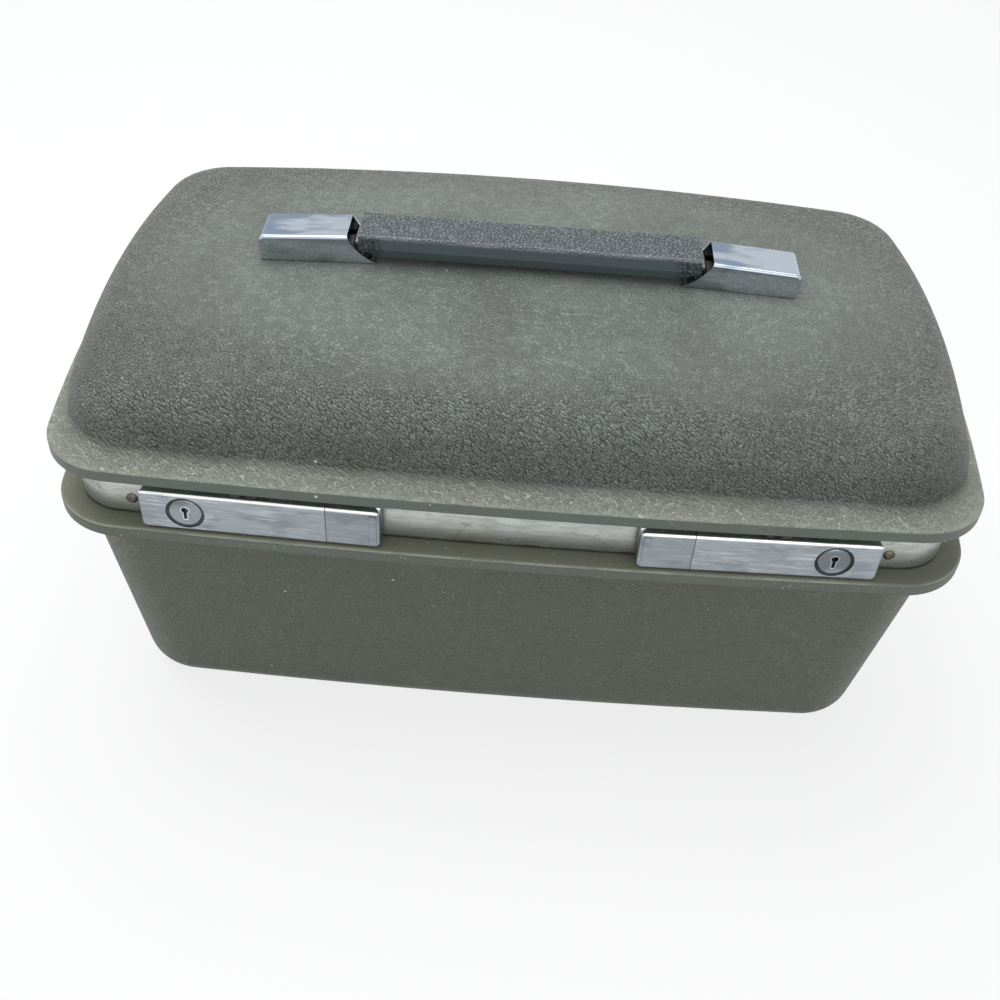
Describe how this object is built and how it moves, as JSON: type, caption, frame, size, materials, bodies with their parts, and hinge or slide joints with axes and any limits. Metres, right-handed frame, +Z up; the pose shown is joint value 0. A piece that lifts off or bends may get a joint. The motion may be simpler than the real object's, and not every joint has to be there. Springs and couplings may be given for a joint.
{
  "type": "train case",
  "caption": "Hard-sided train case with a domed lid hinged at the back, recessed hasp latches with key locks, a lift handle, a mirror in the lid and a lift-out tray.",
  "frame": {"origin": "middle of the case's plan, on the plane its feet stand on", "axes": "+Z up, the front with the latches faces -Y, +X to the right seen from the front"},
  "size_m": [0.37, 0.227, 0.2075],
  "materials": {
    "base_shell": "grained, satin, scuffed",
    "lid_shell": "pebbled, satin, scuffed",
    "frame": "satin, faintly stained",
    "rivets": "dull",
    "lining": "quilted cloth",
    "hinge": "satin",
    "latch": "brushed along its length",
    "latch_plate": "satin",
    "chrome": "polished, smudged",
    "lock": "worn",
    "grip": "pebbled",
    "strap": "satin",
    "mirror": "clear",
    "mirror_frame": "satin",
    "tray": "satin",
    "feet": "satin"
  },
  "bodies": {
    "base": {"base_shell": "base_shell", "base_frame": "frame", "frame_rivets": "rivets", "base_lining": "lining", "tray_rests": "tray", "feet": "feet", "hinge_base_leaf_left": "hinge", "hinge_base_leaf_right": "hinge", "hinge_base_rivets": "rivets", "hinge_pin_left": "hinge", "hinge_pin_right": "hinge", "latch_plate_left": "latch_plate", "latch_plate_right": "latch_plate", "latch_rivets": "rivets", "hasp_pins": "hinge"},
    "lid": {"lid_shell": "lid_shell", "lid_frame": "frame", "lid_lining": "lining", "mirror_board": "lining", "mirror_glass": "mirror", "mirror_frame": "mirror_frame", "hinge_lid_leaf_left": "hinge", "hinge_lid_leaf_right": "hinge", "hinge_lid_rivets": "rivets", "striker_left": "latch_plate", "striker_right": "latch_plate", "striker_rivets": "rivets", "handle_bracket_left": "chrome", "handle_bracket_right": "chrome", "bracket_floor_left": "latch_plate", "bracket_floor_right": "latch_plate", "bracket_screws": "rivets"},
    "handle": {"handle_grip": "grip", "handle_strap": "strap"},
    "lift_out_tray": {"tray": "tray"},
    "hasp_body_right": {"hasp_right": "latch", "lock_body_right": "chrome"},
    "slide_body_right": {"thumb_slide_right": "latch", "slide_spring_right": "latch_plate"},
    "plug_body_right": {"lock_plug_right": "lock", "lock_cam_right": "lock"},
    "hasp_body_left": {"hasp_left": "latch", "lock_body_left": "chrome"},
    "slide_body_left": {"thumb_slide_left": "latch", "slide_spring_left": "latch_plate"},
    "plug_body_left": {"lock_plug_left": "lock", "lock_cam_left": "lock"}
  },
  "joints": [
    {"name": "lid_hinge", "type": "hinge", "parent": "base", "child": "lid", "pos_m": [0, 0.1082, 0.147], "axis": [-1, 0, 0], "range_deg": [0, 105]},
    {"name": "handle_lift", "type": "slide", "parent": "lid", "child": "handle", "axis": [0, 0, 1], "range_m": [0, 0.006]},
    {"name": "tray_lift", "type": "slide", "parent": "base", "child": "lift_out_tray", "axis": [0, 0, 1], "range_m": [0, 0.03]},
    {"name": "hasp_hinge_right", "type": "hinge", "parent": "base", "child": "hasp_body_right", "pos_m": [0.09464, -0.10821, 0.1351], "axis": [0.9996, 0.0272, 0], "range_deg": [0, 90]},
    {"name": "thumb_slide_right", "type": "slide", "parent": "hasp_body_right", "child": "slide_body_right", "axis": [-0.9996, -0.0272, 0], "range_m": [0, 0.005], "stiffness_N_per_m": 300, "springref_m": -0.002},
    {"name": "lock_turn_right", "type": "hinge", "parent": "hasp_body_right", "child": "plug_body_right", "pos_m": [0.12302, -0.10744, 0.1413], "axis": [-0.0272, 0.9996, 0], "range_deg": [0, 90]},
    {"name": "hasp_hinge_left", "type": "hinge", "parent": "base", "child": "hasp_body_left", "pos_m": [-0.09464, -0.10821, 0.1351], "axis": [0.9996, -0.0272, 0], "range_deg": [0, 90]},
    {"name": "thumb_slide_left", "type": "slide", "parent": "hasp_body_left", "child": "slide_body_left", "axis": [0.9996, -0.0272, 0], "range_m": [0, 0.005], "stiffness_N_per_m": 300, "springref_m": -0.002},
    {"name": "lock_turn_left", "type": "hinge", "parent": "hasp_body_left", "child": "plug_body_left", "pos_m": [-0.12302, -0.10744, 0.1413], "axis": [-0.0272, -0.9996, 0], "range_deg": [0, 90]}
  ]
}
